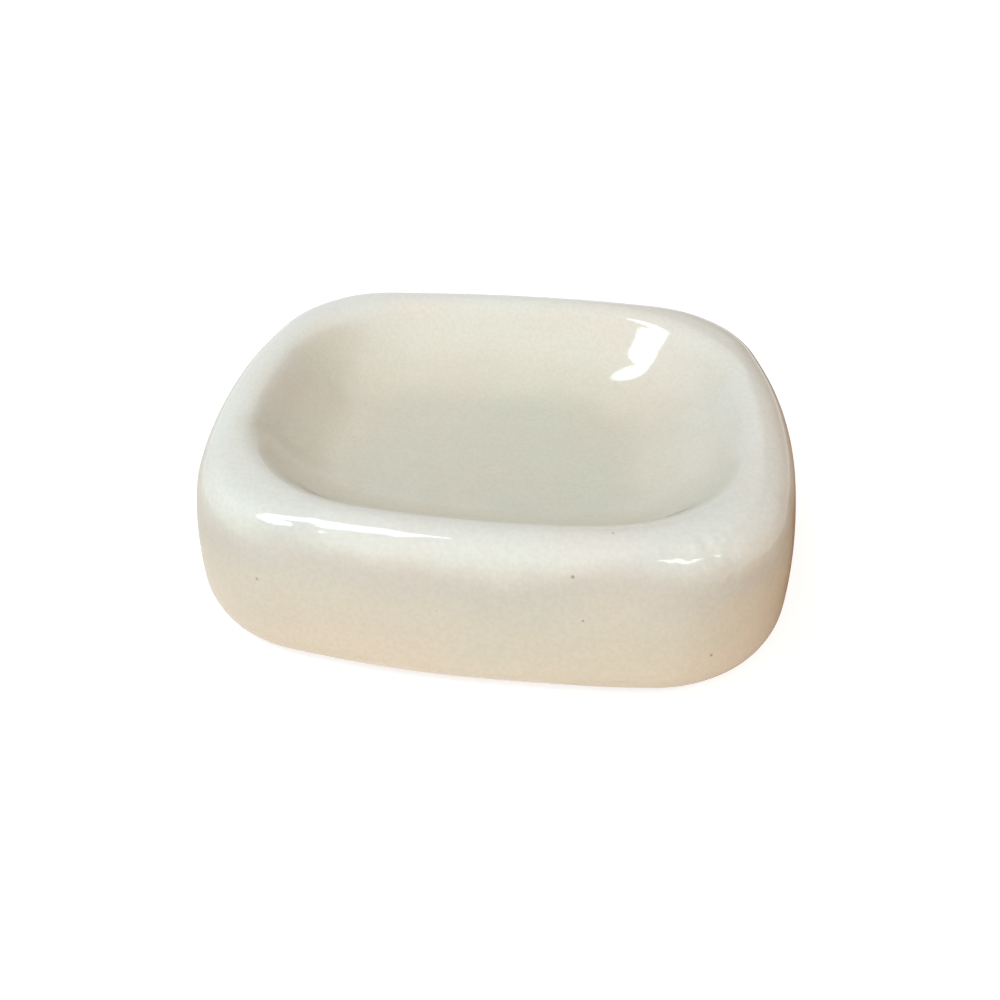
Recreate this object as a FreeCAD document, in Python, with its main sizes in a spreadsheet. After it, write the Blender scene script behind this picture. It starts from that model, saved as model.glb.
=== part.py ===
"""Glazed ceramic soap dish: a hollow cast clay body with a rounded rim and one shallow basin,
a thin glaze coat, a soft stopper in the pour hole and four soft pads to stand on.

The origin is on the surface that the dish stands on, under its middle.
+X runs along the dish, -Y is the front and +Z is up. Lengths are in millimetres, angles in degrees.
"""
import FreeCAD, Part
import math
import os
import Sketcher

# Driving sizes: name, value, what it measures
SIZES = [
    ("dish_length", 130.0, "length over the glaze at the widest level"),
    ("dish_width", 111.0, "width over the glaze at the widest level"),
    ("dish_end_radius", 129.0, "bow of the two short ends in plan"),
    ("dish_side_radius", 280.0, "bow of the two long sides in plan"),
    ("dish_corner_radius", 31.0, "rounding of the four corners in plan"),
    ("wall_radius", 86.0, "bulge of the outer wall in section"),
    ("widest_level", 8.3, "height at which the wall is widest"),
    ("shoulder_radius", 6.6, "rounding from the wall to the rim"),
    ("foot_edge_radius", 4.7, "rounding of the bare clay from the wall to the foot"),
    ("rim_flat_end", 0.3, "level part of the rim at the middle of an end"),
    ("rim_flat_side", 0.8, "level part of the rim at the middle of a side"),
    ("lip_radius", 6.0, "rounding from the rim to the basin"),
    ("basin_end_radius", 123.0, "bow of the basin's short ends in plan"),
    ("basin_side_radius", 187.0, "bow of the basin's long sides in plan"),
    ("basin_end_half", 10.75, "from the middle of a basin end to where its corner rounding centres"),
    ("basin_depth", 15.5, "from the rim to the basin floor"),
    ("basin_lean", 43.0, "lean of the basin wall from upright"),
    ("basin_floor_corner", 5.0, "corner rounding in plan of the level part of the basin floor"),
    ("clay_thickness", 4.5, "thickness of the cast wall, base and basin"),
    ("cavity_height", 7.25, "height of the hollow under the basin"),
    ("cavity_edge_radius", 3.0, "rounding inside the hollow"),
    ("solid_rim_depth", 9.0, "depth below the rim where the two walls join"),
    ("glaze_thickness", 0.5, "thickness of the glaze"),
    ("bare_foot_height", 0.8, "clay left bare above the foot"),
    ("foot_ring_width", 5.0, "width of the flat foot ring"),
    ("recess_depth", 1.2, "depth of the recess inside the foot ring"),
    ("pour_hole_diameter", 10.0, "hole in the base that the slip is poured out of"),
    ("stopper_clearance", 0.1, "room round the stopper in its hole"),
    ("stopper_head_diameter", 14.0, "head of the stopper, in the recess"),
    ("stopper_head_thickness", 0.9, "thickness of that head"),
    ("stopper_lip_diameter", 11.4, "lip of the stopper, inside the hollow"),
    ("stopper_lip_height", 1.5, "height of that lip"),
    ("pad_diameter", 10.0, "foot pad"),
    ("pad_stand", 0.8, "how far a pad holds the foot ring off the surface"),
    ("pad_bevel", 0.5, "bevel round the bottom of a pad"),
    ("pad_setback_end", 27.0, "from the end of the dish to the middle of a pad"),
    ("pad_setback_side", 27.0, "from the side of the dish to the middle of a pad"),
    ("joint_overlap", 1.0, "how far the swept and the straight parts of one form overlap"),
]

# Sizes that follow from the driving ones: name, formula
FOLLOWING = [
    ("hollow_depth", "glaze_thickness + clay_thickness"),
    ("foot_level", "pad_stand"),
    ("glaze_level", "pad_stand + bare_foot_height"),
    ("recess_level", "pad_stand + recess_depth"),
    ("cavity_floor", "pad_stand + clay_thickness"),
    ("basin_floor", "cavity_floor + cavity_height + hollow_depth"),
    ("dish_height", "basin_floor + basin_depth"),
    ("cavity_top", "dish_height - solid_rim_depth"),
    ("dish_half_length", "dish_length / 2"),
    ("dish_half_width", "dish_width / 2"),
    ("shoulder_rise", "dish_height - shoulder_radius - widest_level"),
    ("crest_inset", "wall_radius - sqrt((wall_radius - shoulder_radius) ^ 2 - shoulder_rise ^ 2)"),
    ("core_inset", "crest_inset + clay_thickness"),
    ("ring_inset", "core_inset + joint_overlap"),
    ("lean_slope", "tan(basin_lean * 1 deg)"),
    ("lean_cosine", "cos(basin_lean * 1 deg)"),
    ("lean_sine", "sin(basin_lean * 1 deg)"),
    ("half_turn", "tan((90 - basin_lean) / 2 * 1 deg)"),
    ("lip_run", "lip_radius * half_turn"),
    ("basin_half_length", "dish_half_length - crest_inset - rim_flat_end - lip_run"),
    ("basin_half_width", "dish_half_width - crest_inset - rim_flat_side - lip_run"),
    ("basin_corner_radius", "basin_half_width - basin_end_half"),
    ("wall_run", "basin_depth * lean_slope"),
    ("room_in_plan", "(basin_corner_radius - basin_floor_corner - wall_run) / half_turn"),
    ("room_in_depth", "(basin_depth - solid_rim_depth + hollow_depth) / (1 - lean_sine) - hollow_depth"),
    ("basin_floor_radius", "min(room_in_plan; room_in_depth)"),
    ("floor_inset", "wall_run + basin_floor_radius * half_turn + joint_overlap"),
    ("floor_ring_inset", "floor_inset + joint_overlap"),
    ("recess_inset", "foot_edge_radius + glaze_thickness + foot_ring_width"),
    ("stopper_radius", "pour_hole_diameter / 2 - stopper_clearance"),
    ("stopper_lip_base", "cavity_floor + stopper_clearance"),
]

# Heights closer than this count as the same
SAME_PLACE = 1e-6

doc = FreeCAD.newDocument("soap_dish")


def fill_sheet():
    """Spreadsheet with the driving sizes and the ones that follow from them."""
    sheet = doc.addObject("Spreadsheet::Sheet", "Sizes")
    rows = [(name, str(value), note) for name, value, note in SIZES]
    rows += [(name, "=" + formula, "") for name, formula in FOLLOWING]
    for row, (name, content, note) in enumerate(rows, start=1):
        sheet.set(f"A{row}", name)
        sheet.set(f"B{row}", content)
        sheet.setAlias(f"B{row}", name)
        sheet.set(f"C{row}", note)
    doc.recompute()
    return sheet


sheet = fill_sheet()


def value(formula):
    """Present value of a formula in sheet names."""
    result = sheet.evalExpression(formula)
    return float(getattr(result, "Value", result))


def linked(formula):
    """The same formula as an object outside the sheet has to write it."""
    names = [name for name, _, _ in SIZES] + [name for name, _ in FOLLOWING]
    words = []
    for word in formula.replace("(", "( ").replace(")", " )").split():
        words.append(f"Sizes.{word}" if word in names else word)
    return " ".join(words)


class Drawing:
    """A sketch on one of a body's origin planes, whose sizes follow the sheet."""

    START, END, CENTRE = range(1, 4)
    ACROSS, UP = range(-1, -3, -1)
    ORIGIN = (ACROSS, START)

    def __init__(self, body, name, plane, level=None):
        self.sketch = body.newObject("Sketcher::SketchObject", name)
        origin_plane = next(f for f in body.Origin.OriginFeatures if f.Role == plane)
        self.sketch.AttachmentSupport = (origin_plane, [""])
        self.sketch.MapMode = "FlatFace"
        if level:
            self.sketch.setExpression("AttachmentOffset.Base.z", linked(level))

    def line(self, start, end):
        first, last = FreeCAD.Vector(*start, 0), FreeCAD.Vector(*end, 0)
        return self.sketch.addGeometry(Part.LineSegment(first, last))

    def arc(self, centre, radius, start_angle, end_angle):
        circle = Part.Circle(FreeCAD.Vector(*centre, 0), FreeCAD.Vector(0, 0, 1), radius)
        return self.sketch.addGeometry(Part.ArcOfCircle(circle, start_angle, end_angle))

    def rule(self, kind, *items):
        return self.sketch.addConstraint(Sketcher.Constraint(kind, *items))

    def size(self, kind, *items, formula):
        """A measured constraint that follows the sheet."""
        number = self.rule(kind, *items, value(formula))
        self.sketch.setExpression(f"Constraints[{number}]", linked(formula))

    def slope(self, item, formula):
        """Angle of a line above level, from a formula in degrees."""
        number = self.rule("Angle", item, math.radians(value(formula)))
        self.sketch.setExpression(f"Constraints[{number}]", f"( {linked(formula)} ) * 1 deg")

    def across(self, item, point, formula):
        self.size("DistanceX", *self.ORIGIN, item, point, formula=formula)

    def up(self, item, point, formula):
        self.size("DistanceY", *self.ORIGIN, item, point, formula=formula)

    def radius(self, item, formula):
        self.size("Radius", item, formula=formula)


def corner_centre(half_length, half_width, end_radius, side_radius, corner_radius):
    """Middle of the corner arc that touches the end arc and the side arc from inside."""
    end = FreeCAD.Vector(half_length - end_radius, 0, 0)
    side = FreeCAD.Vector(0, half_width - side_radius, 0)
    from_end, from_side = end_radius - corner_radius, side_radius - corner_radius
    apart = side - end
    along = (from_end ** 2 - from_side ** 2 + apart.Length ** 2) / (2 * apart.Length)
    off = math.sqrt(from_end ** 2 - along ** 2)
    forward = FreeCAD.Vector(apart).normalize()
    return end + forward * along + FreeCAD.Vector(-forward.y, forward.x, 0) * off


def outline(body, name, form, inset="0", level=None):
    """Plan outline of the dish or the basin, drawn in by the inset: arcs that meet smoothly all round."""
    half_length, half_width = f"{form}_half_length - {inset}", f"{form}_half_width - {inset}"
    radii = {part: f"{form}_{part}_radius - {inset}" for part in ("end", "side", "corner")}
    a, b = value(half_length), value(half_width)
    end_r, side_r, corner_r = (value(radii[part]) for part in ("end", "side", "corner"))
    corner = corner_centre(a, b, end_r, side_r, corner_r)
    low = math.atan2(corner.y, corner.x - (a - end_r))
    high = math.atan2(corner.y - (b - side_r), corner.x)
    half_circle = math.pi
    draw = Drawing(body, name, "XY_Plane", level)
    arcs = [
        draw.arc((a - end_r, 0), end_r, 0, low),
        draw.arc((corner.x, corner.y), corner_r, low, high),
        draw.arc((0, b - side_r), side_r, high, half_circle - high),
        draw.arc((-corner.x, corner.y), corner_r, half_circle - high, half_circle - low),
        draw.arc((end_r - a, 0), end_r, half_circle - low, half_circle + low),
        draw.arc((-corner.x, -corner.y), corner_r, half_circle + low, half_circle + high),
        draw.arc((0, side_r - b), side_r, half_circle + high, 2 * half_circle - high),
        draw.arc((corner.x, -corner.y), corner_r, 2 * half_circle - high, 2 * half_circle - low),
        draw.arc((a - end_r, 0), end_r, 2 * half_circle - low, 2 * half_circle),
    ]
    right, back, left, front, right_again = arcs[0], arcs[2], arcs[4], arcs[6], arcs[8]
    corners = arcs[1:8:2]
    for arc, after in zip(arcs, arcs[1:]):
        draw.rule("Tangent", arc, draw.END, after, draw.START)
    draw.rule("Coincident", right_again, draw.END, right, draw.START)
    draw.rule("Coincident", right_again, draw.CENTRE, right, draw.CENTRE)
    draw.rule("PointOnObject", right, draw.START, draw.ACROSS)
    for arc, part in ((right, "end"), (left, "end"), (back, "side"), (front, "side")):
        draw.radius(arc, radii[part])
    for arc in corners:
        draw.radius(arc, radii["corner"])
    for arc in (right, left):
        draw.rule("PointOnObject", arc, draw.CENTRE, draw.ACROSS)
    for arc in (back, front):
        draw.rule("PointOnObject", arc, draw.CENTRE, draw.UP)
    end_back, side_back = f"{form}_end_radius - {form}_half_length", f"{form}_side_radius - {form}_half_width"
    draw.size("DistanceX", right, draw.CENTRE, *draw.ORIGIN, formula=end_back)
    draw.size("DistanceX", *draw.ORIGIN, left, draw.CENTRE, formula=end_back)
    draw.size("DistanceY", back, draw.CENTRE, *draw.ORIGIN, formula=side_back)
    draw.size("DistanceY", *draw.ORIGIN, front, draw.CENTRE, formula=side_back)
    return draw.sketch


def wall_section(body, name, bulge, low_radius, low_level, top_radius, top_level, cut_level=None):
    """Section of the outer wall, closed towards the middle: rounded foot, bulging wall and shoulder.
    With a cut level the rounding stops there instead of running out into the flat underside."""
    wall_r, low_r, top_r = value(bulge), value(low_radius), value(top_radius)
    low_z, top_z = value(low_level), value(top_level)
    start_z = value(cut_level or low_level)
    inner_x = value("dish_half_length - ring_inset")
    wall_x, wall_z = value("dish_half_length - wall_radius"), value("widest_level")
    low_angle = math.asin((low_z + low_r - wall_z) / (wall_r - low_r))
    top_angle = math.asin((top_z - top_r - wall_z) / (wall_r - top_r))
    low_x = wall_x + (wall_r - low_r) * math.cos(low_angle)
    top_x = wall_x + (wall_r - top_r) * math.cos(top_angle)
    start_angle = math.asin(max(-1.0, (start_z - low_z - low_r) / low_r))
    start_x = low_x + low_r * math.cos(start_angle)
    draw = Drawing(body, name, "XZ_Plane")
    under = draw.line((inner_x, start_z), (start_x, start_z))
    foot = draw.arc((low_x, low_z + low_r), low_r, start_angle, low_angle)
    wall = draw.arc((wall_x, wall_z), wall_r, low_angle, top_angle)
    shoulder = draw.arc((top_x, top_z - top_r), top_r, top_angle, math.pi / 2)
    rim = draw.line((top_x, top_z), (inner_x, top_z))
    inside = draw.line((inner_x, top_z), (inner_x, start_z))
    if cut_level:
        draw.rule("Coincident", under, draw.END, foot, draw.START)
        draw.up(foot, draw.CENTRE, f"{low_level} + {low_radius}")
    else:
        draw.rule("Tangent", under, draw.END, foot, draw.START)
    draw.rule("Tangent", foot, draw.END, wall, draw.START)
    draw.rule("Tangent", wall, draw.END, shoulder, draw.START)
    draw.rule("Tangent", shoulder, draw.END, rim, draw.START)
    draw.rule("Coincident", rim, draw.END, inside, draw.START)
    draw.rule("Coincident", inside, draw.END, under, draw.START)
    draw.rule("Horizontal", under)
    draw.rule("Horizontal", rim)
    draw.rule("Vertical", inside)
    draw.radius(foot, low_radius)
    draw.radius(wall, bulge)
    draw.radius(shoulder, top_radius)
    draw.size("DistanceX", wall, draw.CENTRE, *draw.ORIGIN, formula="wall_radius - dish_half_length")
    draw.up(wall, draw.CENTRE, "widest_level")
    draw.up(rim, draw.START, top_level)
    draw.up(under, draw.START, cut_level or low_level)
    draw.across(inside, draw.START, "dish_half_length - ring_inset")
    return draw.sketch


def basin_section(body, name, grow, top_level):
    """Section of the basin, closed towards the middle: a leaning wall and a rounded foot on a level floor.
    The basin is larger all round by the amount that it grows."""
    wall_shift = f"( {top_level} - dish_height ) * lean_slope + {grow} / lean_cosine"
    top_x = f"basin_half_length + {wall_shift}"
    floor_radius, floor_level = f"basin_floor_radius + {grow}", f"basin_floor - {grow}"
    lean, radius, floor_z, top_z = (
        math.radians(value("basin_lean")), value(floor_radius), value(floor_level), value(top_level))
    inner_x, outer_x = value("basin_half_length - floor_ring_inset"), value(top_x)
    low_z = floor_z + radius * (1 - math.sin(lean))
    low_x = outer_x - (top_z - low_z) * math.tan(lean)
    centre_x = low_x - radius * math.cos(lean)
    draw = Drawing(body, name, "XZ_Plane")
    wall = draw.line((low_x, low_z), (outer_x, top_z))
    curve = draw.arc((centre_x, floor_z + radius), radius, -math.pi / 2, -lean)
    floor = draw.line((centre_x, floor_z), (inner_x, floor_z))
    inside = draw.line((inner_x, floor_z), (inner_x, top_z))
    mouth = draw.line((inner_x, top_z), (outer_x, top_z))
    draw.rule("Tangent", wall, draw.START, curve, draw.END)
    draw.rule("Tangent", curve, draw.START, floor, draw.START)
    draw.rule("Coincident", floor, draw.END, inside, draw.START)
    draw.rule("Coincident", inside, draw.END, mouth, draw.START)
    draw.rule("Coincident", mouth, draw.END, wall, draw.END)
    draw.rule("Horizontal", floor)
    draw.rule("Horizontal", mouth)
    draw.rule("Vertical", inside)
    draw.radius(curve, floor_radius)
    draw.slope(wall, "90 - basin_lean")
    draw.across(wall, draw.END, top_x)
    draw.up(wall, draw.END, top_level)
    draw.up(floor, draw.START, floor_level)
    draw.across(inside, draw.START, "basin_half_length - floor_ring_inset")
    return draw.sketch


def straight(body, kind, name, sketch, length):
    """A pad or pocket of a sketch."""
    feature = body.newObject(f"PartDesign::{kind}", name)
    feature.Profile = sketch
    feature.setExpression("Length", linked(length))
    feature.Refine = True
    return feature


def swept(body, kind, name, section, path):
    """A section carried round a closed outline."""
    feature = body.newObject(f"PartDesign::{kind}Pipe", name)
    feature.Profile = section
    feature.Spine = (path, [])
    feature.Mode = "Binormal"
    feature.Binormal = FreeCAD.Vector(0, 0, 1)
    feature.Refine = True
    return feature


def add_block(body, bottom, top, section):
    """Solid block with the dish's plan outline and the given wall section."""
    core = outline(body, "core_outline", "dish", "core_inset", bottom)
    straight(body, "Pad", "core", core, f"{top} - {bottom}")
    path = outline(body, "wall_path", "dish")
    swept(body, "Additive", "wall", section, path)
    doc.recompute()


def cut_basin(body, grow, rim_level, mouth_level):
    """The basin's hollow, larger all round by the amount that it grows."""
    section = basin_section(body, "basin_section", grow, mouth_level)
    path = outline(body, "basin_path", "basin")
    swept(body, "Subtractive", "basin_wall", section, path)
    middle = outline(body, "floor_outline", "basin", "floor_inset", rim_level)
    straight(body, "Pocket", "basin_middle", middle, f"{rim_level} - basin_floor + {grow}")
    doc.recompute()


def level_ring(shape, height):
    """The level face with one hole in it at the given height."""
    for face in shape.Faces:
        heights = [vertex.Z for vertex in face.Vertexes]
        if len(face.Wires) == 2 and max(abs(z - height) for z in heights) < SAME_PLACE:
            return face
    raise RuntimeError(f"no level face with a hole at {height:.2f}")


def round_lip(body, level, radius):
    """Rounds the edge of the basin's mouth."""
    base = body.Tip
    rim = level_ring(base.Shape, value(level))
    mouth = next(wire for wire in rim.Wires if not wire.isSame(rim.OuterWire))
    names = []
    for number, edge in enumerate(base.Shape.Edges, start=1):
        if any(edge.isSame(other) for other in mouth.Edges):
            names.append(f"Edge{number}")
    lip = body.newObject("PartDesign::Fillet", "lip")
    lip.Base = (base, names)
    lip.setExpression("Radius", linked(radius))
    doc.recompute()


def new_body(name):
    body = doc.addObject("PartDesign::Body", name)
    body.Label = name
    return body


def cut(name, base, tool):
    result = doc.addObject("Part::Cut", name)
    result.Label = name
    result.Base = base
    result.Tool = tool
    doc.recompute()
    return result


def make_clay_form():
    """Outer form of the fired clay, still solid inside."""
    body = new_body("clay_form")
    section = wall_section(
        body, "wall_section", "wall_radius - glaze_thickness", "foot_edge_radius", "foot_level",
        "shoulder_radius - glaze_thickness", "dish_height - glaze_thickness")
    add_block(body, "foot_level", "dish_height - glaze_thickness", section)
    cut_basin(body, "glaze_thickness", "dish_height - glaze_thickness", "dish_height + joint_overlap")
    round_lip(body, "dish_height - glaze_thickness", "lip_radius - glaze_thickness")
    return body


def make_cavity_form():
    """The hollow between the outer wall, the base and the basin."""
    body = new_body("cavity_form")
    section = wall_section(
        body, "wall_section", "wall_radius - hollow_depth", "cavity_edge_radius",
        "cavity_floor", "cavity_edge_radius", "cavity_top")
    add_block(body, "cavity_floor", "cavity_top", section)
    cut_basin(body, "hollow_depth", "cavity_top", "cavity_top + joint_overlap")
    return body


def make_underside_form():
    """What is cut out underneath: the recess inside the foot ring and the pour hole."""
    body = new_body("underside_form")
    recess = outline(body, "recess_outline", "dish", "recess_inset")
    straight(body, "Pad", "recess", recess, "recess_level")
    hole = Drawing(body, "hole_outline", "XY_Plane")
    radius = value("pour_hole_diameter / 2")
    ring = hole.sketch.addGeometry(Part.Circle(FreeCAD.Vector(), FreeCAD.Vector(0, 0, 1), radius))
    hole.rule("Coincident", ring, hole.CENTRE, *hole.ORIGIN)
    hole.radius(ring, "pour_hole_diameter / 2")
    straight(body, "Pad", "pour_hole", hole.sketch, "cavity_floor + cavity_height / 2")
    doc.recompute()
    return body


def make_glaze_form():
    """Outer form of the glaze, still solid inside."""
    body = new_body("glaze_form")
    section = wall_section(
        body, "wall_section", "wall_radius", "foot_edge_radius + glaze_thickness",
        "foot_level - glaze_thickness", "shoulder_radius", "dish_height", cut_level="glaze_level")
    add_block(body, "glaze_level", "dish_height", section)
    cut_basin(body, "0", "dish_height", "dish_height + joint_overlap")
    round_lip(body, "dish_height", "lip_radius")
    return body


def turned(name, corners):
    """A round piece about its own upright axis, from the corners of half its section.
    The first and the last corner lie on the axis."""
    body = new_body(name)
    draw = Drawing(body, "half_section", "XZ_Plane")
    places = [(value(x), value(z)) for x, z in corners]
    sides = [draw.line(place, after) for place, after in zip(places, places[1:] + places[:1])]
    for side, after in zip(sides, sides[1:] + sides[:1]):
        draw.rule("Coincident", side, draw.END, after, draw.START)
    for side, (x, z) in zip(sides, corners):
        if x == "0":
            draw.rule("PointOnObject", side, draw.START, draw.UP)
        else:
            draw.across(side, draw.START, x)
        if z == "0":
            draw.rule("PointOnObject", side, draw.START, draw.ACROSS)
        else:
            draw.up(side, draw.START, z)
    turn = body.newObject("PartDesign::Revolution", "turned")
    turn.Profile = draw.sketch
    turn.ReferenceAxis = (draw.sketch, ["V_Axis"])
    turn.Angle = 360
    doc.recompute()
    return body


def make_stopper():
    """Soft bung: a flat head in the recess, a shank in the pour hole and a tapered lip inside the hollow."""
    head_radius, lip_radius = "stopper_head_diameter / 2", "stopper_lip_diameter / 2"
    head_level, tip_level = "recess_level - stopper_head_thickness", "stopper_lip_base + stopper_lip_height"
    return turned("pour_hole_stopper", [
        ("0", head_level),
        (head_radius, head_level),
        (head_radius, "recess_level"),
        ("stopper_radius", "recess_level"),
        ("stopper_radius", "stopper_lip_base"),
        (lip_radius, "stopper_lip_base"),
        ("stopper_radius - stopper_clearance", tip_level),
        ("0", tip_level),
    ])


def make_pads():
    """Four soft pads, each seated against the recess and standing out below the foot ring."""
    pads = []
    for depth_name, depth_sign in (("front", "-"), ("back", "")):
        for side_name, side_sign in (("left", "-"), ("right", "")):
            pad = turned(f"foot_pad_{depth_name}_{side_name}", [
                ("0", "0"),
                ("pad_diameter / 2 - pad_bevel", "0"),
                ("pad_diameter / 2", "pad_bevel"),
                ("pad_diameter / 2", "recess_level"),
                ("0", "recess_level"),
            ])
            along = f"{side_sign} ( dish_half_length - pad_setback_end )"
            across = f"{depth_sign} ( dish_half_width - pad_setback_side )"
            pad.setExpression("Placement.Base.x", linked(along))
            pad.setExpression("Placement.Base.y", linked(across))
            pads.append(pad)
    doc.recompute()
    return pads


def check(nodes):
    """Stops if any object failed or any node is not one sound solid."""
    for item in doc.Objects:
        if "Invalid" in item.State or "Error" in item.State:
            raise RuntimeError(f"{item.Label} failed: {item.State}")
    for node in nodes:
        shape = node.Shape
        if shape.isNull() or not shape.isValid() or len(shape.Solids) != 1:
            raise RuntimeError(f"{node.Label} is not one sound solid")


clay_form = make_clay_form()
hollow_clay = cut("hollow_clay", clay_form, make_cavity_form())
clay_body = cut("clay_body", hollow_clay, make_underside_form())
glaze_coat = cut("glaze_coat", make_glaze_form(), clay_form)
nodes = [clay_body, glaze_coat, make_stopper()] + make_pads()
check(nodes)

os.makedirs("parts", exist_ok=True)
for node in nodes:
    node.Shape.exportStep(f"parts/{node.Label}.step")
    box = node.Shape.optimalBoundingBox()
    size = f"{box.XLength:.2f} x {box.YLength:.2f} x {box.ZLength:.2f} mm from {box.ZMin:.2f} up"
    print(f"{node.Label}: {node.Shape.Volume / 1000:.3f} cm3, {size}")
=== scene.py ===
"""Looks of a glazed ceramic soap dish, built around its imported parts.

The glaze is modelled as a fine closed mesh: tangent arcs in plan and section, softened as melted glass
softens them, with the slow waver of a hand-finished casting. Lengths below are in millimetres.
"""

import math

import bpy
import numpy as np
from mathutils import Matrix, Vector, noise


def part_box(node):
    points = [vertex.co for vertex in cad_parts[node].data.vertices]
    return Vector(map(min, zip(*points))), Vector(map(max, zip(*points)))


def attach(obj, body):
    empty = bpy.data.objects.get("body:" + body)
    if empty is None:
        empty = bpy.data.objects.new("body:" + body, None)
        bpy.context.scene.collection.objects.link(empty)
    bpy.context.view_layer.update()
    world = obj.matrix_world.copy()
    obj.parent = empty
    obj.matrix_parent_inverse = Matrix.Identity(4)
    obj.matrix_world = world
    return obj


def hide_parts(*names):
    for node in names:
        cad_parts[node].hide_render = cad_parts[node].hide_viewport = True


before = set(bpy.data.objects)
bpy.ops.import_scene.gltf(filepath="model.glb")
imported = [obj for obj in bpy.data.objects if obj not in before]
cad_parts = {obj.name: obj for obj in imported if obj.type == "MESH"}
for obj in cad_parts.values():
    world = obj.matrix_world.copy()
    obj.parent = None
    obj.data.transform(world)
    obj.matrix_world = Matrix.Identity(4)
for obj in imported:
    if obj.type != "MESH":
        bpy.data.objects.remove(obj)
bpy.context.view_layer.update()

MM = 0.001

# Sizes of the glazed form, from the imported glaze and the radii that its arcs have
glaze_low, glaze_high = (np.array(corner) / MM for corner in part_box("glaze_coat"))
GLAZE_LINE = glaze_low[2]
RIM_LEVEL = glaze_high[2]
DISH = {
    "half_length": glaze_high[0],
    "half_width": glaze_high[1],
    "end": 129.0,
    "side": 280.0,
    "corner": 31.0,
}
WALL_RADIUS = 86.0
WIDEST_LEVEL = 8.3
SHOULDER_RADIUS = 6.6
FOOT_EDGE_RADIUS = 5.2
FOOT_EDGE_LEVEL = 0.3
RIM_FLAT_END = 0.3
RIM_FLAT_SIDE = 0.8
LIP_RADIUS = 6.0
BASIN_END_RADIUS = 123.0
BASIN_SIDE_RADIUS = 187.0
BASIN_END_HALF = 10.75
BASIN_DEPTH = 15.5
BASIN_LEAN = math.radians(43.0)
BASIN_FLOOR_CORNER = 5.0
BASIN_TURN = math.tan((math.pi / 2 - BASIN_LEAN) / 2)
GLAZE_THICKNESS = 0.45

# Fineness of the glaze mesh
SIDE_COLUMNS = 150
END_COLUMNS = 120
ROWS = 150
ARC_STEP = math.radians(1.5)
OUTLINE_STEPS = 40
SOFTEN_STEPS = 10

# Waver of the fired surface: how far it rises and over what length
SLOW_RISE, SLOW_WAVE = 0.16, 26.0
SOFT_RISE, SOFT_WAVE = 0.035, 7.0
FLOOR_SAG = 0.25
ROLL_RISE, ROLL_HEIGHT = 0.12, 0.9

# Spots where the glaze crawled into lumps: middle, reach, rise and length of a lump
CRAWLS = (
    (Vector((43.0, -46.0, 31.2)), 6.0, 0.22, 1.7),
    (Vector((0.0, -49.5, 32.4)), 3.0, 0.08, 1.4),
)

# Stretches of the front shoulder that were wiped a little flatter: their ends, depth and reach
WIPES = (
    (Vector((-28.0, -47.9, 32.4)), Vector((-15.0, -49.0, 32.4)), 0.27, 2.8),
    (Vector((37.0, -47.5, 31.8)), Vector((46.0, -44.5, 31.8)), 0.22, 2.4),
)


def plan(form, angles):
    """Points of a plan outline, and its outward normals, at the given normal angles."""
    end = np.array([form["half_length"] - form["end"], 0.0])
    side = np.array([0.0, form["half_width"] - form["side"]])
    from_end, from_side = form["end"] - form["corner"], form["side"] - form["corner"]
    apart = np.linalg.norm(side - end)
    along = (from_end ** 2 - from_side ** 2 + apart ** 2) / (2 * apart)
    forward = (side - end) / apart
    aside = np.array([-forward[1], forward[0]])
    corner = end + forward * along + aside * math.sqrt(from_end ** 2 - along ** 2)
    low = math.atan2(corner[1] - end[1], corner[0] - end[0])
    high = math.atan2(corner[1] - side[1], corner[0] - side[0])
    normals = np.stack([np.cos(angles), np.sin(angles)], axis=1)
    quarter = np.abs(normals)
    turn = np.arctan2(quarter[:, 1], quarter[:, 0])[:, None]
    points = np.where(turn < low, end + form["end"] * quarter, side + form["side"] * quarter)
    points = np.where((turn >= low) & (turn < high), corner + form["corner"] * quarter, points)
    return points * np.where(normals < 0, -1.0, 1.0), normals


def column_angles():
    """Normal angles of the columns, evenly spaced along each side and each end of the outline."""
    angles = []
    for number, count in enumerate((SIDE_COLUMNS, END_COLUMNS, SIDE_COLUMNS, END_COLUMNS)):
        start = math.pi / 4 + number * math.pi / 2
        fine = np.linspace(start, start + math.pi / 2, OUTLINE_STEPS * count)
        points, _ = plan(DISH, fine)
        reach = np.concatenate([[0.0], np.cumsum(np.linalg.norm(np.diff(points, axis=0), axis=1))])
        angles.append(np.interp(np.linspace(0, reach[-1], count, endpoint=False), reach, fine))
    return np.concatenate(angles)


def arc(centre, radius, start, end):
    """Points of an arc in the section plane: inset from the outline, and height."""
    count = max(3, int(abs(end - start) / ARC_STEP))
    turn = np.linspace(start, end, count)
    return np.stack([centre[0] - radius * np.cos(turn), centre[1] + radius * np.sin(turn)], axis=1)


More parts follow.
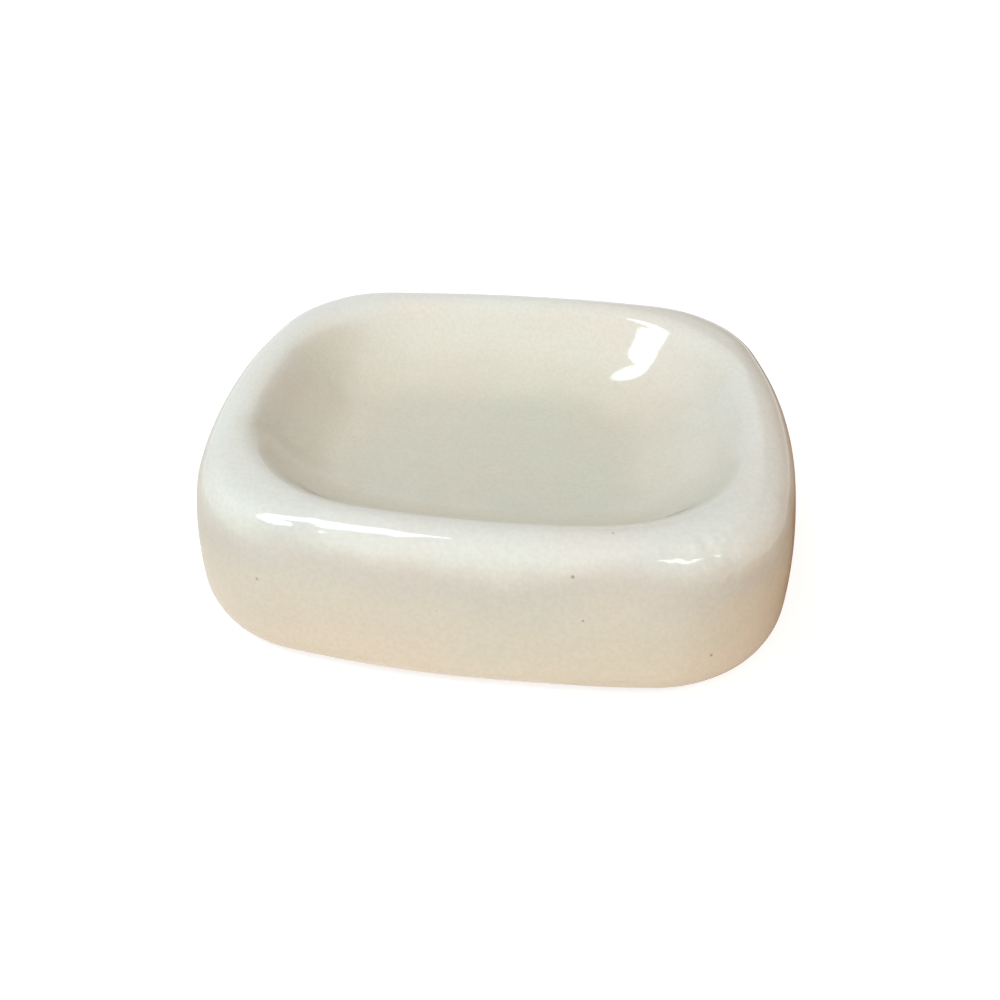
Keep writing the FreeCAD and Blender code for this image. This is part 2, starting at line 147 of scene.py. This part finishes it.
def wall_section():
    """Outside of the dish from the glaze line up to the rim, as inset from the dish outline and height."""
    to_foot, to_shoulder = WALL_RADIUS - FOOT_EDGE_RADIUS, WALL_RADIUS - SHOULDER_RADIUS
    foot_level, shoulder_level = FOOT_EDGE_LEVEL + FOOT_EDGE_RADIUS, RIM_LEVEL - SHOULDER_RADIUS
    foot_turn = math.asin((foot_level - WIDEST_LEVEL) / to_foot)
    rim_turn = math.asin((shoulder_level - WIDEST_LEVEL) / to_shoulder)
    foot = (WALL_RADIUS - to_foot * math.cos(foot_turn), foot_level)
    shoulder = (WALL_RADIUS - to_shoulder * math.cos(rim_turn), shoulder_level)
    start = math.asin((GLAZE_LINE - foot[1]) / FOOT_EDGE_RADIUS)
    return np.concatenate([
        arc(foot, FOOT_EDGE_RADIUS, start, foot_turn),
        arc((WALL_RADIUS, WIDEST_LEVEL), WALL_RADIUS, foot_turn, rim_turn)[1:],
        arc(shoulder, SHOULDER_RADIUS, rim_turn, math.pi / 2)[1:],
    ])


def basin_outline(crest_inset):
    """Plan outline of the basin's edge, inside the rim."""
    run = crest_inset + LIP_RADIUS * BASIN_TURN
    half_width = DISH["half_width"] - run - RIM_FLAT_SIDE
    return {"half_length": DISH["half_length"] - run - RIM_FLAT_END, "half_width": half_width,
            "end": BASIN_END_RADIUS, "side": BASIN_SIDE_RADIUS, "corner": half_width - BASIN_END_HALF}


def basin_section(corner_radius):
    """Inside of the dish from the rim down to the level floor, as inset from the basin outline and height."""
    wall_run = BASIN_DEPTH * math.tan(BASIN_LEAN)
    floor_inset = corner_radius - BASIN_FLOOR_CORNER
    floor_radius = (floor_inset - wall_run) / BASIN_TURN
    lip = (-LIP_RADIUS * BASIN_TURN, RIM_LEVEL - LIP_RADIUS)
    floor_curve = (floor_inset, RIM_LEVEL - BASIN_DEPTH + floor_radius)
    return np.concatenate([
        arc(lip, LIP_RADIUS, math.pi / 2, math.pi - BASIN_LEAN),
        arc(floor_curve, floor_radius, -BASIN_LEAN, -math.pi / 2),
    ])


def even_rows(columns, count):
    """The same columns of points, each with the given number of evenly spaced points."""
    spans = np.linalg.norm(np.diff(columns, axis=1), axis=2)
    reach = np.concatenate([np.zeros((len(columns), 1)), np.cumsum(spans, axis=1)], axis=1)
    result = np.empty((len(columns), count, 3))
    for number, (points, lengths) in enumerate(zip(columns, reach)):
        places = np.linspace(0, lengths[-1], count)
        for axis in range(3):
            result[number, :, axis] = np.interp(places, lengths, points[:, axis])
    return result


def glaze_columns():
    """Columns of points from the glaze line over the rim to the level floor of the basin."""
    angles = column_angles()
    wall = wall_section()
    basin = basin_outline(wall[-1, 0])
    columns = []
    for form, section in ((DISH, wall), (basin, basin_section(basin["corner"]))):
        points, normals = plan(form, angles)
        flat = points[:, None, :] - section[None, :, :1] * normals[:, None, :]
        heights = np.broadcast_to(section[None, :, 1:], flat.shape[:2] + (1,))
        columns.append(np.concatenate([flat, heights], axis=2))
    columns = even_rows(np.concatenate(columns, axis=1), ROWS)
    for _ in range(SOFTEN_STEPS):
        columns[:, 1:-1] = columns[:, 1:-1] / 2 + (columns[:, :-2] + columns[:, 2:]) / 4
    return columns


def floor_patch(ring):
    """Grid of points inside a closed ring of columns, sagging a little towards its middle."""
    turned = np.concatenate([ring, ring[:1]])
    back = turned[:SIDE_COLUMNS + 1]
    left = turned[SIDE_COLUMNS:SIDE_COLUMNS + END_COLUMNS + 1]
    front = turned[SIDE_COLUMNS + END_COLUMNS:2 * SIDE_COLUMNS + END_COLUMNS + 1][::-1]
    right = turned[2 * SIDE_COLUMNS + END_COLUMNS:][::-1]
    u = np.linspace(0, 1, SIDE_COLUMNS + 1)[:, None, None]
    v = np.linspace(0, 1, END_COLUMNS + 1)[None, :, None]
    across = (1 - v) * back[:, None] + v * front[:, None]
    along = (1 - u) * right[None, :] + u * left[None, :]
    corners = ((1 - u) * (1 - v) * back[0] + u * (1 - v) * back[-1]
               + (1 - u) * v * front[0] + u * v * front[-1])
    patch = across + along - corners
    patch[:, :, 2:] -= FLOOR_SAG * (16 * u * (1 - u) * v * (1 - v)) ** 2
    return patch


def glaze_faces():
    """Points and faces of the glaze's outer surface, with each point's place along the section."""
    columns = glaze_columns()
    count = len(columns)
    patch = floor_patch(columns[:, -1])
    points = columns.reshape(-1, 3).tolist()
    along = np.tile(np.linspace(0, 1, ROWS), count).tolist()
    faces = []
    for column in range(count):
        start, after = column * ROWS, (column + 1) % count * ROWS
        for row in range(ROWS - 1):
            faces.append((start + row, after + row, after + row + 1, start + row + 1))
    edge = [column * ROWS + ROWS - 1 for column in range(count)]
    number = {}
    for place in range(SIDE_COLUMNS + 1):
        number[place, 0] = edge[place]
        number[SIDE_COLUMNS - place, END_COLUMNS] = edge[SIDE_COLUMNS + END_COLUMNS + place]
    for place in range(END_COLUMNS + 1):
        number[SIDE_COLUMNS, place] = edge[SIDE_COLUMNS + place]
        number[0, END_COLUMNS - place] = edge[(2 * SIDE_COLUMNS + END_COLUMNS + place) % count]
    for i in range(1, SIDE_COLUMNS):
        for j in range(1, END_COLUMNS):
            number[i, j] = len(points)
            points.append(patch[i, j].tolist())
            along.append(1.0)
    for i in range(SIDE_COLUMNS):
        for j in range(END_COLUMNS):
            faces.append((number[i, j], number[i + 1, j], number[i + 1, j + 1], number[i, j + 1]))
    return points, faces, along


def wipe(place):
    """Depth of the wiped stretches at a place."""
    total = 0.0
    for start, end, depth, reach in WIPES:
        span = end - start
        share = min(1.0, max(0.0, (place - start).dot(span) / span.length_squared))
        away = (place - start - span * share).length
        total += depth * math.exp(-(away / reach) ** 2)
    return total


def waver(place):
    """How far the fired surface stands off the drawn one at a place."""
    slow = noise.noise(place / SLOW_WAVE) * SLOW_RISE
    soft = noise.noise(place / SOFT_WAVE) * SOFT_RISE
    roll = ROLL_RISE * math.exp(-((place.z - GLAZE_LINE - ROLL_HEIGHT) / ROLL_HEIGHT) ** 2)
    total = slow + soft + roll - wipe(place)
    for middle, reach, rise, wave in CRAWLS:
        near = math.exp(-((place - middle).length / reach) ** 2)
        total += noise.noise(place / wave) * rise * near
    return total


def make_glaze():
    """The glaze as a smooth mesh with thickness, and the place along the section as an attribute."""
    points, faces, along = glaze_faces()
    mesh = bpy.data.meshes.new("glaze_skin")
    mesh.from_pydata((np.array(points) * MM).tolist(), [], faces)
    mesh.update()
    moved = []
    for vertex in mesh.vertices:
        place = vertex.co / MM
        moved.append(vertex.co + vertex.normal * waver(place) * MM)
    for vertex, place in zip(mesh.vertices, moved):
        vertex.co = place
    mesh.attributes.new("along", "FLOAT", "POINT").data.foreach_set("value", along)
    mesh.shade_smooth()
    glaze = bpy.data.objects.new("glaze_skin", mesh)
    bpy.context.collection.objects.link(glaze)
    shell = glaze.modifiers.new("thickness", "SOLIDIFY")
    shell.thickness = GLAZE_THICKNESS * MM
    shell.offset = -1.0
    return glaze


class Finish:
    """A node material and short ways to add nodes to it."""

    def __init__(self, name, roughness):
        self.material = bpy.data.materials.new(name)
        self.material.use_nodes = True
        self.nodes = self.material.node_tree.nodes
        self.links = self.material.node_tree.links
        self.shader = self.nodes["Principled BSDF"]
        self.shader.inputs["Roughness"].default_value = roughness
        self.place = self.nodes.new("ShaderNodeTexCoord").outputs["Object"]

    def feed(self, socket, source):
        """Links a source to a socket, or sets the socket where the source is a plain value."""
        if isinstance(source, bpy.types.NodeSocket):
            self.links.new(source, socket)
        else:
            socket.default_value = source

    def noise(self, wave, detail=2.0):
        """Cloudy factor that varies over the given length in millimetres."""
        node = self.nodes.new("ShaderNodeTexNoise")
        node.inputs["Scale"].default_value = 1 / (wave * MM)
        node.inputs["Detail"].default_value = detail
        self.links.new(self.place, node.inputs["Vector"])
        return node.outputs["Fac"]

    def math(self, operation, first, second):
        """Result of a math node on two sources or plain values."""
        node = self.nodes.new("ShaderNodeMath")
        node.operation = operation
        self.feed(node.inputs[0], first)
        self.feed(node.inputs[1], second)
        return node.outputs[0]

    def spread(self, factor, low, high, new_low, new_high):
        """The factor carried from one range to another and held inside it."""
        node = self.nodes.new("ShaderNodeMapRange")
        self.links.new(factor, node.inputs["Value"])
        for name, value in (("From Min", low), ("From Max", high), ("To Min", new_low), ("To Max", new_high)):
            node.inputs[name].default_value = value
        return node.outputs["Result"]

    def ramp(self, factor, stops):
        """Colour that runs through the given stops."""
        node = self.nodes.new("ShaderNodeValToRGB")
        ramp = node.color_ramp
        ramp.interpolation = "EASE"
        while len(ramp.elements) < len(stops):
            ramp.elements.new(1.0)
        for element, (position, colour) in zip(ramp.elements, stops):
            element.position = position
            element.color = (*colour, 1)
        self.links.new(factor, node.inputs["Fac"])
        return node.outputs["Color"]

    def mix(self, factor, first, second, blend="MIX"):
        """Two colours blended by the factor."""
        node = self.nodes.new("ShaderNodeMixRGB")
        node.blend_type = blend
        for socket, source in zip(node.inputs, (factor, first, second)):
            self.feed(socket, source)
        return node.outputs["Color"]

    def bump(self, height, rise):
        """Fine relief of the given rise in millimetres."""
        node = self.nodes.new("ShaderNodeBump")
        node.inputs["Distance"].default_value = rise * MM
        self.links.new(height, node.inputs["Height"])
        self.links.new(node.outputs["Normal"], self.shader.inputs["Normal"])

    def axes(self):
        """The three coordinates of a place, in metres."""
        node = self.nodes.new("ShaderNodeSeparateXYZ")
        self.links.new(self.place, node.inputs[0])
        return node.outputs

    def dot(self, place, radius):
        """Factor of one speck, which fades to 0 at the given radius. Both are in millimetres."""
        away = self.nodes.new("ShaderNodeVectorMath")
        away.operation = "DISTANCE"
        self.links.new(self.place, away.inputs[0])
        away.inputs[1].default_value = [part * MM for part in place]
        return self.spread(away.outputs["Value"], radius * MM, SPECK_CORE * radius * MM, 0.0, SPECK_DEPTH)

    def specks(self, cell, radius, share):
        """Factor of scattered dots: one in the middle of some cells, for the given share of the cells."""
        node = self.nodes.new("ShaderNodeTexVoronoi")
        node.inputs["Scale"].default_value = 1 / (cell * MM)
        self.links.new(self.place, node.inputs["Vector"])
        reach = radius / cell
        dots = self.spread(node.outputs["Distance"], reach, SPECK_CORE * reach, 0.0, FINE_SPECK_DEPTH)
        chance = self.nodes.new("ShaderNodeSeparateColor")
        self.links.new(node.outputs["Color"], chance.inputs[0])
        return self.math("MULTIPLY", dots, self.math("LESS_THAN", chance.outputs[0], share))

    def colour(self, source):
        """Takes a source as the base colour."""
        self.links.new(source, self.shader.inputs["Base Color"])


# Colours of the glaze from its lower edge, up the wall, over the rim and down to the basin floor. Besides the
# glaze's own tone they hold painted light and shade: a painted warm reflection on the lighter lower edge,
# painted warm bounce in the warmer lower wall, painted shade on the darker upper wall, painted light on the
# whiter rim and painted shade on the darker basin floor.
GLAZE_TONE_AND_SHADE_STOPS = (
    (0.00, (0.80, 0.75, 0.66)),
    (0.06, (0.75, 0.70, 0.60)),
    (0.20, (0.70, 0.675, 0.585)),
    (0.32, (0.645, 0.63, 0.58)),
    (0.42, (0.735, 0.735, 0.675)),
    (0.52, (0.745, 0.735, 0.665)),
    (0.66, (0.735, 0.705, 0.615)),
    (0.84, (0.69, 0.65, 0.54)),
    (1.00, (0.615, 0.60, 0.495)),
)
# Painted warm shade of the right end: a multiplier that darkens and browns the glaze there
RIGHT_END_SHADE = (0.96, 0.86, 0.80)
PINK_CLOUD, GREEN_CLOUD = (1.0, 0.975, 0.96), (0.985, 1.0, 0.985)
GRAIN_DARK, GRAIN_LIGHT = (0.965, 0.96, 0.945), (1.02, 1.02, 1.01)
SPECK_COLOUR = (0.30, 0.24, 0.17)

# Dark specks of iron that stand out: place and radius
SPECKS = (
    ((25.4, -44.4, 33.0), 0.32),
    ((18.8, -52.2, 28.8), 0.48),
    ((21.2, -53.9, 20.0), 0.35),
    ((-40.6, -51.3, 20.0), 0.4),
    ((47.2, 4.8, 25.6), 0.5),
    ((45.1, -50.2, 10.7), 0.45),
    ((38.8, -10.5, 20.2), 0.4),
)
SPECK_CELL, SPECK_RADIUS, SPECK_SHARE = 7.0, 0.22, 0.3

# Share of a speck's radius that is full, and how strong placed and scattered specks are
SPECK_CORE, SPECK_DEPTH, FINE_SPECK_DEPTH = 0.3, 0.8, 0.6

# Lengths over which the glaze varies: its drift along the section, its clouds, its grain and its fine relief
DRIFT_WAVE, CLOUD_WAVE, GRAIN_WAVE, RELIEF_WAVE = 18.0, 24.0, 0.9, 1.6
DRIFT = 0.04
RELIEF_RISE = 0.01
GLAZE_ROUGHNESS = 0.07

# Where the painted warm shade of the right end begins and is full: along the dish and in height. It darkens
# and browns the lower right end as shade and a brown reflection would.
RIGHT_END_SHADE_ALONG, RIGHT_END_SHADE_HEIGHT = (38.0, 64.0), (32.0, 16.0)


def glaze_material():
    """Glossy cream glaze: whiter on the rim, warmer below, with clouds, fine grain and a few iron specks. The
    whiter rim is partly painted light, the warmer lower wall partly painted warm bounce, the darker basin
    partly painted shade, and the lower right end carries painted warm shade.
    """
    finish = Finish("cream_glaze", GLAZE_ROUGHNESS)
    along = finish.nodes.new("ShaderNodeAttribute")
    along.attribute_name = "along"
    drift = finish.spread(finish.noise(DRIFT_WAVE, 3.0), 0.3, 0.7, -DRIFT, DRIFT)
    # Glaze tone along the section, with painted light on the rim, painted shade on the upper wall and in the
    # basin, and a painted warm reflection at the lower edge
    tone = finish.ramp(finish.math("ADD", along.outputs["Fac"], drift), GLAZE_TONE_AND_SHADE_STOPS)
    across, _, up = finish.axes()
    masks = []
    # Painted warm shade and brown reflection over the lower right end of the dish
    for factor, (begins, full) in ((across, RIGHT_END_SHADE_ALONG), (up, RIGHT_END_SHADE_HEIGHT)):
        masks.append(finish.spread(factor, begins * MM, full * MM, 0.0, 1.0))
    right_end_shade = finish.math("MULTIPLY", *masks)
    tone = finish.mix(right_end_shade, tone, finish.mix(1.0, tone, (*RIGHT_END_SHADE, 1), "MULTIPLY"))
    cloud = finish.ramp(finish.noise(CLOUD_WAVE, 3.0), ((0.35, PINK_CLOUD), (0.65, GREEN_CLOUD)))
    tone = finish.mix(1.0, tone, cloud, "MULTIPLY")
    grain = finish.ramp(finish.noise(GRAIN_WAVE, 4.0), ((0.3, GRAIN_DARK), (0.7, GRAIN_LIGHT)))
    tone = finish.mix(1.0, tone, grain, "MULTIPLY")
    dots = finish.specks(SPECK_CELL, SPECK_RADIUS, SPECK_SHARE)
    for place, radius in SPECKS:
        dots = finish.math("MAXIMUM", dots, finish.dot(place, radius))
    finish.colour(finish.mix(dots, tone, (*SPECK_COLOUR, 1)))
    finish.bump(finish.noise(RELIEF_WAVE, 3.0), RELIEF_RISE)
    return finish.material


def plain_material(name, dark, light, wave, roughness, rise):
    """A matt finish that varies between two colours over the given length."""
    finish = Finish(name, roughness)
    grain = finish.noise(wave, 5.0)
    finish.colour(finish.ramp(grain, ((0.3, dark), (0.7, light))))
    finish.bump(grain, rise)
    return finish.material


def direction(azimuth, elevation):
    """Unit vector towards a place seen at this azimuth and elevation from the dish."""
    a, e = math.radians(azimuth), math.radians(elevation)
    return Vector((math.sin(a) * math.cos(e), -math.cos(a) * math.cos(e), math.sin(e)))


# The photograph's camera: degrees, millimetres, and lens and shifts as shares of the picture's width
CAMERA_AZIMUTH, CAMERA_ELEVATION, CAMERA_ROLL = 9.898, 34.36, 1.55
CAMERA_DISTANCE = 230.0
CAMERA_TARGET = Vector((-15.22, 11.34, 14.44))
CAMERA_LENS = 0.9406
CAMERA_SHIFT = (0.0598, -0.0717)
SENSOR_WIDTH = 36.0


def make_camera():
    """Camera at the photograph's viewing angle, close to the dish."""
    data = bpy.data.cameras.new("camera")
    camera = bpy.data.objects.new("camera", data)
    bpy.context.collection.objects.link(camera)
    away = direction(CAMERA_AZIMUTH, CAMERA_ELEVATION)
    place = Matrix.Translation((CAMERA_TARGET + away * CAMERA_DISTANCE) * MM)
    turn = away.to_track_quat("Z", "Y").to_matrix().to_4x4()
    camera.matrix_world = place @ turn @ Matrix.Rotation(-math.radians(CAMERA_ROLL), 4, "Z")
    data.sensor_width = SENSOR_WIDTH
    data.lens = SENSOR_WIDTH * CAMERA_LENS
    data.shift_x, data.shift_y = CAMERA_SHIFT
    data.clip_start = 0.01
    bpy.context.scene.camera = camera


def panel(name, place, size, turn, brightness, colour):
    """Oval lamp that faces straight down, as a soft window in a ceiling does."""
    data = bpy.data.lights.new(name, "AREA")
    data.shape = "ELLIPSE"
    data.size, data.size_y = size
    area = math.pi / 4 * size[0] * size[1]
    data.energy = brightness * math.pi * area
    data.color = colour
    lamp = bpy.data.objects.new(name, data)
    bpy.context.collection.objects.link(lamp)
    lamp.location = place
    lamp.rotation_euler.z = math.radians(turn)


def shown_straight(nodes, links):
    """Factor that is 1 where the camera sees a thing directly, in a mirror or through glass."""
    path = nodes.new("ShaderNodeLightPath")
    total = path.outputs["Is Camera Ray"]
    for name in ("Is Glossy Ray", "Is Transmission Ray"):
        either = nodes.new("ShaderNodeMath")
        either.operation = "MAXIMUM"
        links.new(total, either.inputs[0])
        links.new(path.outputs[name], either.inputs[1])
        total = either.outputs[0]
    return total


FLOOR_DARK, FLOOR_LIGHT, FLOOR_WAVE = (0.78, 0.64, 0.48), (0.80, 0.66, 0.50), 150.0
FLOOR_SHOWN, FLOOR_GLOW = (0.5, 0.5, 0.5), 0.72


def floor_material():
    """Pale warm floor whose lit parts are shown as white and which keeps the dish's shadow."""
    finish = Finish("pale_floor", 0.9)
    finish.colour(finish.ramp(finish.noise(FLOOR_WAVE), ((0.3, FLOOR_DARK), (0.7, FLOOR_LIGHT))))
    finish.shader.inputs["Specular IOR Level"].default_value = 0.0
    white = finish.nodes.new("ShaderNodeBsdfDiffuse")
    white.inputs["Color"].default_value = (*FLOOR_SHOWN, 1)
    glow = finish.nodes.new("ShaderNodeEmission")
    glow.inputs["Strength"].default_value = FLOOR_GLOW
    both = finish.nodes.new("ShaderNodeAddShader")
    finish.links.new(white.outputs[0], both.inputs[0])
    finish.links.new(glow.outputs[0], both.inputs[1])
    pick = finish.nodes.new("ShaderNodeMixShader")
    finish.links.new(shown_straight(finish.nodes, finish.links), pick.inputs["Fac"])
    finish.links.new(finish.shader.outputs[0], pick.inputs[1])
    finish.links.new(both.outputs[0], pick.inputs[2])
    finish.links.new(pick.outputs[0], finish.nodes["Material Output"].inputs["Surface"])
    return finish.material


def make_world(ambient, glows):
    """White surroundings, whose soft light is even apart from some wide glows."""
    world = bpy.data.worlds.new("studio")
    bpy.context.scene.world = world
    world.use_nodes = True
    nodes, links = world.node_tree.nodes, world.node_tree.links
    way = nodes.new("ShaderNodeTexCoord").outputs["Generated"]
    light = nodes.new("ShaderNodeRGB")
    light.outputs[0].default_value = (*ambient, 1)
    total = light.outputs[0]
    for azimuth, elevation, colour in glows:
        towards = nodes.new("ShaderNodeVectorMath")
        towards.operation = "DOT_PRODUCT"
        links.new(way, towards.inputs[0])
        towards.inputs[1].default_value = direction(azimuth, elevation)
        ahead = nodes.new("ShaderNodeMath")
        ahead.operation = "MAXIMUM"
        links.new(towards.outputs["Value"], ahead.inputs[0])
        ahead.inputs[1].default_value = 0.0
        fade = nodes.new("ShaderNodeMath")
        fade.operation = "POWER"
        links.new(ahead.outputs[0], fade.inputs[0])
        fade.inputs[1].default_value = GLOW_FADE
        add = nodes.new("ShaderNodeMixRGB")
        add.blend_type = "ADD"
        links.new(fade.outputs[0], add.inputs["Fac"])
        links.new(total, add.inputs["Color1"])
        add.inputs["Color2"].default_value = (*colour, 1)
        total = add.outputs["Color"]
    pick = nodes.new("ShaderNodeMixRGB")
    links.new(shown_straight(nodes, links), pick.inputs["Fac"])
    links.new(total, pick.inputs["Color1"])
    pick.inputs["Color2"].default_value = (1, 1, 1, 1)
    links.new(pick.outputs["Color"], nodes["Background"].inputs["Color"])


CARD_VARIES, CARD_WAVE = 1.05, 60.0


def card_material(name, colour):
    """Matt card that fades out towards its edges, so that its reflection has no hard edge."""
    finish = Finish(name, 0.9)
    lighter = tuple(CARD_VARIES * part for part in colour)
    finish.colour(finish.ramp(finish.noise(CARD_WAVE), ((0.3, colour), (0.7, lighter))))
    finish.shader.inputs["Specular IOR Level"].default_value = 0.0
    spread = finish.nodes.new("ShaderNodeTexGradient")
    spread.gradient_type = "SPHERICAL"
    finish.links.new(finish.place, spread.inputs["Vector"])
    clear = finish.nodes.new("ShaderNodeBsdfTransparent")
    pick = finish.nodes.new("ShaderNodeMixShader")
    finish.links.new(finish.spread(spread.outputs["Fac"], 0.0, 0.5, 0.0, 1.0), pick.inputs["Fac"])
    finish.links.new(clear.outputs[0], pick.inputs[1])
    finish.links.new(finish.shader.outputs[0], pick.inputs[2])
    finish.links.new(pick.outputs[0], finish.nodes["Material Output"].inputs["Surface"])
    return finish.material


def make_card(name, place, turn, size, colour, tints):
    """Soft-edged card beside the dish, out of the camera's sight, that the glaze mirrors.

    One that tints also sends its colour onto the dish.
    """
    bpy.ops.mesh.primitive_plane_add(size=2.0)
    card = bpy.context.object
    card.name = name
    card.scale = (size[0] / 2, size[1] / 2, 1.0)
    card.rotation_euler = [math.radians(angle) for angle in turn]
    card.location = place
    card.visible_camera = False
    card.visible_shadow = False
    card.visible_diffuse = tints
    card.data.materials.append(card_material(name, colour))


# Soft light: an even part and wide glows, each with its azimuth, elevation and colour
GLOW_FADE = 4.0
AMBIENT = (0.25, 0.243, 0.232)
GLOWS = (
    (0, 23, (0.98, 0.955, 0.95)),
    (-45, 48, (0.52, 0.51, 0.48)),
    (45, 24, (0.34, 0.33, 0.325)),
)


# Soft-edged cards: name, place, turn in degrees, size, colour, and whether the card tints the dish. Metres.
CARDS = (
    ("warm_card", (0.22, 0.04, 0.2), (90, 0, 100), (0.8, 0.5), (0.36, 0.20, 0.10), True),
    ("warm_cloth", (0.11, 0.05, 0.0005), (0, 0, 0), (0.26, 0.36), (0.34, 0.21, 0.12), False),
    ("pale_cloth", (-0.11, 0.05, 0.0005), (0, 0, 0), (0.26, 0.36), (0.80, 0.74, 0.63), False),
    ("dark_card", (0.26, 0.40, 0.22), (90, 0, 147), (0.62, 0.56), (0.18, 0.11, 0.06), False),
)

# Oval lamps in the ceiling: name, place, size, turn in degrees, brightness and colour. Metres.
COOL_WHITE, WARM_WHITE = (0.70, 0.84, 1.0), (1.0, 0.98, 0.95)
PANELS = (
    ("window_near", (-0.36, 0.0, 0.9), (0.48, 0.20), 18, 9.0, COOL_WHITE),
    ("window_far", (-0.57, -0.27, 0.9), (0.38, 0.42), -30, 9.0, COOL_WHITE),
    ("side_strip", (0.64, -0.38, 0.9), (0.72, 0.17), 25, 8.0, WARM_WHITE),
)
FLOOR_SIZE = 6.0


def make_stage():
    """Floor, soft surroundings, cards and lamps."""
    bpy.ops.mesh.primitive_plane_add(size=FLOOR_SIZE)
    floor = bpy.context.object
    floor.name = "floor"
    floor.data.materials.append(floor_material())
    make_world(AMBIENT, GLOWS)
    for card in CARDS:
        make_card(*card)
    for lamp in PANELS:
        panel(*lamp)


glaze = make_glaze()
glaze.data.materials.append(glaze_material())
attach(glaze, "root")
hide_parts("glaze_coat")

bare_clay = plain_material("bare_clay", dark=(0.62, 0.53, 0.42), light=(0.72, 0.64, 0.53),
                           wave=1.1, roughness=0.8, rise=0.05)
silicone = plain_material("soft_silicone", dark=(0.6, 0.6, 0.58), light=(0.7, 0.7, 0.68),
                          wave=2.0, roughness=0.5, rise=0.02)
for name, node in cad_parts.items():
    if name != "glaze_coat":
        node.data.materials.clear()
        node.data.materials.append(bare_clay if name == "clay_body" else silicone)

make_camera()
make_stage()
bpy.context.scene.view_settings.view_transform = "Standard"

bpy.context.view_layer.update()
